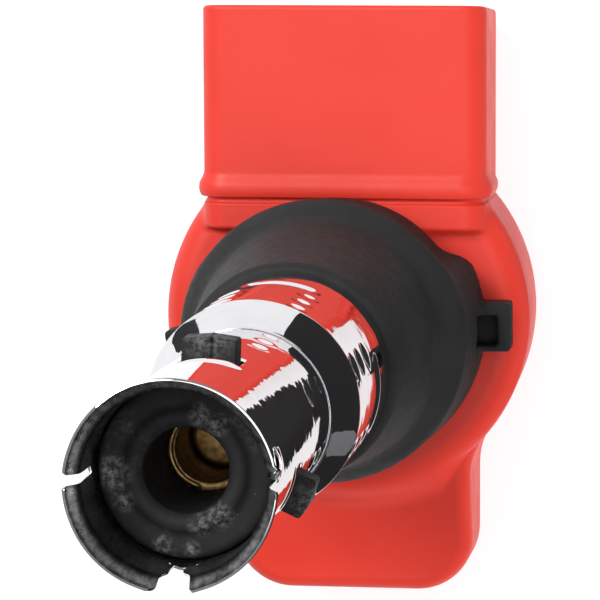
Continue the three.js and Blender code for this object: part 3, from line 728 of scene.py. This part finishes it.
def build_tube():
    thetas = angle_lines(3.0, [a - 1 for a in DIMPLE_ANGLES], 8, 0.8)
    outside = [(TUBE_RADIUS, z) for z in (TUBE_START, 24, 34, 44, 54, 62, 68, 72)]
    outside += [(TUBE_RADIUS, z) for z in np.arange(74, SHOULDER_START - 0.55, 0.36)]
    outside += arc((TUBE_RADIUS - 0.9, SHOULDER_START), 0.9, -6, 20, 6)
    neck = SLEEVE_RADIUS + 0.12
    slope_start = outside[-1]
    slope_end = (neck + 0.12, SHOULDER_END - 1.2)
    for share in np.linspace(0, 1, 8)[1:]:
        r = slope_start[0] + (slope_end[0] - slope_start[0]) * share
        z = slope_start[1] + (slope_end[1] - slope_start[1]) * share
        outside.append((r, z))
    outside += arc((neck + 0.35, SHOULDER_END - 0.9), 0.35, 225, 180, 5)
    rounded = arc((neck - 0.06, SHOULDER_END - 0.4), 0.06, 0, 180, 4)
    inside = [(SLEEVE_RADIUS + 0.02, SHOULDER_END - 1.2), (10.6, 94.4), (11.4, 92.2)]
    inside += [(11.4, z) for z in (80, 60, 40, TUBE_START + 0.2)]
    profile = np.array(outside + rounded + inside)
    t, column = np.meshgrid(np.radians(thetas), np.arange(len(profile)), indexing="ij")
    radius, height = profile[column, 0].copy(), profile[column, 1]
    outer = column < len(outside)
    depth = pressed(np.degrees(t), height, TUBE_DIMPLES) + slots(np.degrees(t), height, TUBE_GROOVES)
    radius -= np.where(outer, depth, 0)
    points = np.stack([radius * np.cos(t), radius * np.sin(t), height], -1).reshape(-1, 3)
    quads = grid_quads(len(thetas), len(profile), True, True)
    add_piece(
        "drawn_tube", points, quads, MATERIALS["plated_steel"], ["outer_tube"],
        sharp=50,
    )


# Each slit: angle, half widths at the rim and at the throat on its two sides, how far its rim corners
# are rounded on the two sides, and the angles its cross slot starts and ends at.
SLITS = (
    (1.0, (0.5, 0.5), (0.35, 0.35), (0.3, 0.5), (-3.0, 17.0)),
    (178.0, (0.45, 0.55), (0.4, 0.5), (0.25, 0.3), (164.0, 181.5)),
    (269.5, (1.35, 1.8), (0.85, 0.6), (0.8, 0.25), (260.0, 279.0)),
)
CROSS_LEVEL = LENGTH - 8.0
CROSS_HALF = 0.35


def slit_half(z, mouth, throat, corner):
    """Half the width of one side of a slit at a height: throat, mouth and rounded corner at the rim."""
    width = throat + (mouth - throat) * smooth_step((z - (LENGTH - 4.5)) / 2.8)
    rim = np.clip((z - (LENGTH - 0.2 - corner)) / corner, 0, 1)
    return width + corner * (1 - np.sqrt(np.maximum(1 - rim * rim, 0)))


def sleeve_grid():
    """Angles and heights of the sleeve's sheet, with a line along every edge of an opening."""
    fixed = []
    for angle, _, _, _, cross in SLITS:
        fixed += [cross[0], angle - 1e-3, angle + 1e-3, cross[1]]
    for angle, half in WINDOWS:
        fixed += [angle - half, angle + half]
    fixed = np.array(fixed) % 360
    marks = angle_lines(2.4, [a + 2 for a in DIMPLE_ANGLES], 9, 0.9)
    marks = marks[[np.abs(wrapped(m - fixed)).min() > 0.5 for m in marks]]
    heights = [SLEEVE_START, 99, 99.8, *np.arange(100.2, 111.4, 0.36), 112.5, 114.5, 116.5, 118.5]
    heights += [LUG_LEVEL - WINDOW_HALF, 120.8, 121.4, LUG_LEVEL, 122.6, 123.2, LUG_LEVEL + WINDOW_HALF]
    heights += [124.5, 124.9, 125.4, 126, 127, 128.5, 130.5, 132.5, 134, 135, 135.8, 136.3]
    heights += [CROSS_LEVEL - CROSS_HALF, CROSS_LEVEL, CROSS_LEVEL + CROSS_HALF, 138, 138.7, 139.4, 140.2]
    heights += [141, 141.6, *np.arange(142.1, 144.85, 0.2), 144.9]
    return np.sort(np.concatenate([marks, fixed])), np.array(heights)


def sleeve_radius(t, z):
    """Radius of the sleeve's outer face: dimples, edges lifted by the lugs and the slits, flared rim."""
    radius = SLEEVE_RADIUS - pressed(t, z, SLEEVE_DIMPLES)
    # The window's edge on the plug side of each lug is bent out.
    for place, half in WINDOWS:
        off = wrapped(t - place)
        over = 1 - smooth_step((np.abs(off) - half * 0.55) / (half * 0.75))
        beyond = 1 - smooth_step((z - LUG_LEVEL - WINDOW_HALF) / 1.3)
        lift = (0.2 - 0.08 * off / half) * over * beyond * (z > LUG_LEVEL)
        radius += lift
    # The sheet spreads a little beside each slit, and the edge behind each cross slot is bent out.
    for place, _, _, _, cross in SLITS:
        near = 1 - smooth_step(np.abs(wrapped(t - place)) / 24)
        radius += 0.05 * near * smooth_step((z - 139) / 6)
        middle = (cross[0] + cross[1]) / 2
        lip = 1 - smooth_step(np.abs(wrapped(t - middle)) / 12)
        below = (z < CROSS_LEVEL) * smooth_step((z - CROSS_LEVEL + 2.6) / 2.3)
        radius += 0.4 * lip * below
    # The corner of the rim beside the first slit is bent out.
    corner = wrapped(t - 5)
    radius += 0.45 * (1 - smooth_step(np.abs(corner) / 5)) * (corner > -4.5) * smooth_step((z - 141) / 3.5)
    return radius + FLARE_RISE * smooth_step((z - (LENGTH - FLARE_LENGTH)) / 2.8) ** 1.3


def build_sleeve():
    """The sleeve is one sheet in angle and height with its openings left out, then given thickness."""
    thetas, heights = sleeve_grid()
    t, z = np.meshgrid(thetas, heights, indexing="ij")
    angle = t.copy()
    reach = 16.0
    for place, mouths, throats, corners, _ in SLITS:
        off = wrapped(t - place)
        for side in (0, 1):
            # Columns beside the slit are pushed out to its edge, and the push dies away over the reach.
            edge = np.degrees(slit_half(z, mouths[side], throats[side], corners[side]) / SLEEVE_RADIUS)
            pushed = (1 if side else -1) * (edge + np.abs(off) * (1 - edge / reach))
            here = (z > CROSS_LEVEL + 0.1) & (np.abs(off) < reach) & ((off > 0) == bool(side))
            angle = np.where(here, place + pushed, angle)
    radius = sleeve_radius(t, z)
    a = np.radians(angle)
    points = np.stack([radius * np.cos(a), radius * np.sin(a), z], -1).reshape(-1, 3)
    quads = grid_quads(len(thetas), len(heights), True, False)
    corner_angles = np.radians(t.reshape(-1)[quads])
    middle = np.degrees(np.arctan2(np.sin(corner_angles).mean(1), np.cos(corner_angles).mean(1)))
    level = z.reshape(-1)[quads].mean(1)
    hole = np.zeros(len(quads), bool)
    for place, _, _, _, cross in SLITS:
        hole |= (np.abs(wrapped(middle - place)) < 1e-3) & (level > CROSS_LEVEL - CROSS_HALF)
        half = (cross[1] - cross[0]) / 2
        across = np.abs(wrapped(middle - cross[0] - half)) < half
        hole |= across & (np.abs(level - CROSS_LEVEL) < CROSS_HALF)
    for place, half in WINDOWS:
        hole |= (np.abs(wrapped(middle - place)) < half) & (np.abs(level - LUG_LEVEL) < WINDOW_HALF)
    quads = quads[~hole]
    used = np.unique(quads)
    renumber = np.full(len(points), -1)
    renumber[used] = np.arange(len(used))
    piece = add_piece(
        "slotted_sleeve", points[used], renumber[quads], MATERIALS["plated_steel"],
        ["lower_sleeve"],
    )
    piece.data.materials.append(rubbed_steel())
    thick = piece.modifiers.new("thickness", "SOLIDIFY")
    thick.thickness = SLEEVE_SHEET * MM
    thick.offset = -1.0
    thick.use_even_offset = True
    thick.material_offset = 1
    edge = piece.modifiers.new("edges", "BEVEL")
    edge.width = 0.08 * MM
    edge.segments = 2
    edge.limit_method = "ANGLE"
    edge.angle_limit = math.radians(50)
    bpy.context.view_layer.update()


# ---------------------------------------------------------------- contact


def build_contact():
    cup = [(0.0, 103.6), (4.3, 103.6), (4.5, 103.8), (4.5, 121.4), (4.44, 121.48)]
    cup += [(4.36, 121.5), (3.9, 121.5), (3.68, 121.38), (3.6, 121.15), (3.6, 104.6), (0.0, 104.6)]
    points, quads = lathe(cup, 72)
    add_piece("contact_cup", points, quads, MATERIALS["contact_brass"], ["terminal_cup"],
              sharp=35)
    face = 113.0
    disc = [(0.0, face - 5.5), (1.0, face - 5.5), (1.2, face - 5.3), (1.2, face - 2.0)]
    disc += [(3.2, face - 2.0), (3.3, face - 1.9), (3.3, face - 0.5)]
    disc += [(3.22, face - 0.22), (3.0, face - 0.06), (2.7, face), (0.9, face - 0.02), (0.0, face - 0.05)]
    points, quads = lathe(disc, 72)
    add_piece("plunger_disc", points, quads, MATERIALS["contact_brass"], ["contact_plunger"],
              body=PLUNGER, sharp=35)


def tube_along(path, radius):
    """Points and quads of a round wire along a path of points, with a radius for each point."""
    path = np.array(path, float)
    tangent = np.gradient(path, axis=0)
    tangent /= np.linalg.norm(tangent, axis=1)[:, None]
    up = np.array([0.0, 0.0, 1.0])
    side = np.cross(tangent, up)
    side /= np.linalg.norm(side, axis=1)[:, None]
    rise = np.cross(side, tangent)
    sides = 10
    around = np.linspace(0, 2 * np.pi, sides, endpoint=False)
    rings = [
        p + r * (np.outer(np.cos(around), s) + np.outer(np.sin(around), h))
        for p, s, h, r in zip(path, side, rise, radius)
    ]
    return np.concatenate(rings), grid_quads(len(path), sides, False, True)[:, ::-1]


def round_tips(count, radius):
    """Wire radius along a path of count points, narrowing to almost nothing at both ends."""
    made = np.full(count, radius)
    made[0] = made[-1] = radius * 0.04
    made[1] = made[-2] = radius * 0.75
    return made


def build_wires():
    start, sweep, level, bend, steps = -60.0, 320.0, 122.12, 4.0, 80
    angles = np.radians(np.linspace(start, start + sweep, steps))
    path = np.stack([bend * np.cos(angles), bend * np.sin(angles), np.full(steps, level)], 1)
    points, quads = tube_along(path, round_tips(steps, 0.3))
    add_piece("retaining_ring", points, quads, MATERIALS["contact_brass"], ["snap_ring"])
    low, high, bend, turns, steps = 105.15, 110.45, 2.4, 4.5, 200
    share = np.linspace(0, 1, steps)
    angles = 2 * np.pi * turns * share
    path = np.stack([bend * np.cos(angles), bend * np.sin(angles), low + (high - low) * share], 1)
    points, quads = tube_along(path, round_tips(steps, 0.25))
    spring = add_piece("plunger_spring", points, quads, MATERIALS["spring_steel"], ["contact_spring"])
    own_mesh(spring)


# ---------------------------------------------------------------- carried-over solids


def dress_frame():
    """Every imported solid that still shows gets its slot's own material."""
    slots = {s["node"]: s["material_slot"] for s in frame["record"]["subparts"]}
    for node, solid in frame["nodes"].items():
        solid.data.materials.clear()
        solid.data.materials.append(MATERIALS[slots[node]])


# ---------------------------------------------------------------- camera, floor and light


def build_camera():
    """At the photograph's viewing angle: from above the plug end, a little to the connector's side."""
    forward = Vector((-0.1454, -0.1255, -0.9814)).normalized()
    right = forward.cross(Vector((-0.0140, 0.9921, -0.1248))).normalized()
    up = right.cross(forward)
    data = bpy.data.cameras.new("camera")
    data.sensor_width = 36.0
    data.lens = 244.86
    data.clip_start, data.clip_end = 0.01, 20.0
    camera = bpy.data.objects.new("camera", data)
    axes = Matrix((right, up, -forward)).transposed()
    camera.matrix_world = Matrix.Translation(Vector((70.7, 68.4, 534.0)) * MM) @ axes.to_4x4()
    bpy.context.scene.collection.objects.link(camera)
    bpy.context.scene.camera = camera


def flat_material(name, colour, strength=0.0):
    """A dull, nearly even colour, which also glows when it has a strength."""
    n = Nodes(name)
    tint = n.mix(n.ramp(n.noise(2.0, 2), 0.3, 0.7), colour, tuple(c * 0.985 for c in colour))
    if strength:
        n.link(tint, n.shader.inputs["Emission Color"])
        n.shader.inputs["Emission Strength"].default_value = strength
    return n.finish(tint, 0.7, Specular_IOR_Level=0.2)


def card(name, corners, material, glossy_only=True):
    """A flat sheet of the studio, seen only in reflections unless it is the floor."""
    mesh = bpy.data.meshes.new(name)
    mesh.from_pydata([tuple(v * MM for v in c) for c in corners], [], [list(range(len(corners)))])
    sheet = bpy.data.objects.new(name, mesh)
    bpy.context.scene.collection.objects.link(sheet)
    mesh.materials.append(material)
    if glossy_only:
        sheet.visible_camera = False
        sheet.visible_diffuse = False
        sheet.visible_transmission = False
        sheet.visible_volume_scatter = False
        sheet.visible_shadow = False


def soft_light(name, place, target, size, watts):
    """A rectangular light at place, facing target, both in metres."""
    data = bpy.data.lights.new(name, "AREA")
    data.shape = "RECTANGLE"
    data.size, data.size_y = size
    data.energy = watts
    light = bpy.data.objects.new(name, data)
    light.location = Vector(place)
    light.rotation_mode = "QUATERNION"
    light.rotation_quaternion = (Vector(target) - Vector(place)).to_track_quat("-Z", "Y")
    bpy.context.scene.collection.objects.link(light)
    return light


def build_studio():
    reach = 3000
    card(
        "floor", [(-reach, -reach, 0), (reach, -reach, 0), (reach, reach, 0), (-reach, reach, 0)],
        flat_material("pale_floor", (0.30, 0.30, 0.302), 2.6), glossy_only=False,
    )
    black = flat_material("black_card", (0.012, 0.012, 0.013))
    grey = flat_material("grey_card", (0.15, 0.15, 0.155))
    edge = [(28.5, -reach, 0.3), (28.5, 30, 0.3), (46, 115, 0.3), (650, reach, 0.3)]
    card("black_right", [(reach, -reach, 0.3), (reach, reach, 0.3), *edge[::-1]], black)
    card("black_left", [(-92, 38, 0.3), (-77, 38, 0.3), (-77, 78, 0.3), (-92, 78, 0.3)], black)
    card("grey_right", [(72, -230, 0.5), (175, -230, 0.5), (165, -48, 0.5), (84, -48, 0.5)], grey)
    card("black_wall", [(900, -reach, 0), (900, reach, 0), (900, reach, 1200), (900, -reach, 1200)], black)

    soft_light("key", (-0.55, 0.60, 0.95), (0, 0, 0.03), (0.6, 0.6), 17.5)
    soft_light("top", (0.25, 0.1, 1.3), (0, 0, 0.03), (1.1, 1.1), 8)
    fill = soft_light("fill", (0.85, -0.55, 0.16), (0, 0, 0.01), (0.8, 0.25), 8)
    fill.visible_glossy = False

    world = bpy.data.worlds.new("studio")
    bpy.context.scene.world = world
    world.use_nodes = True
    ground = world.node_tree.nodes["Background"]
    ground.inputs["Color"].default_value = (1.0, 1.0, 1.0, 1.0)
    ground.inputs["Strength"].default_value = 0.34
    bpy.context.scene.view_settings.view_transform = "Standard"


# Lighter patches on the boot, (x, y, z, reach) in mm: thick dust, and on the bore lip a painted highlight.
DUST_AND_LIP_HIGHLIGHT = (
    (-7.2, -0.4, 135, 2.6), (-6.3, -3.0, 135, 1.8), (1.4, -5.5, 135.6, 1.6), (3.4, -4.5, 135.6, 1.9),
    (1.6, 5.6, 135.4, 1.7), (3.4, 4.6, 135.4, 1.6), (-2.5, -7.6, 135, 1.4), (0.5, -8.0, 135, 1.2),
    (0.3, 12.0, 122, 4.0), (10.9, -5.1, 122, 3.5),
)
MATERIALS["seal"] = black_rubber("seal_rubber", 0.018)
MATERIALS["boot"] = black_rubber("boot_rubber", 0.013, 0.8, DUST_AND_LIP_HIGHLIGHT)

build_camera()
build_head()
build_seal()
build_boot()
build_tube()
build_sleeve()
build_contact()
build_wires()
dress_frame()
build_studio()
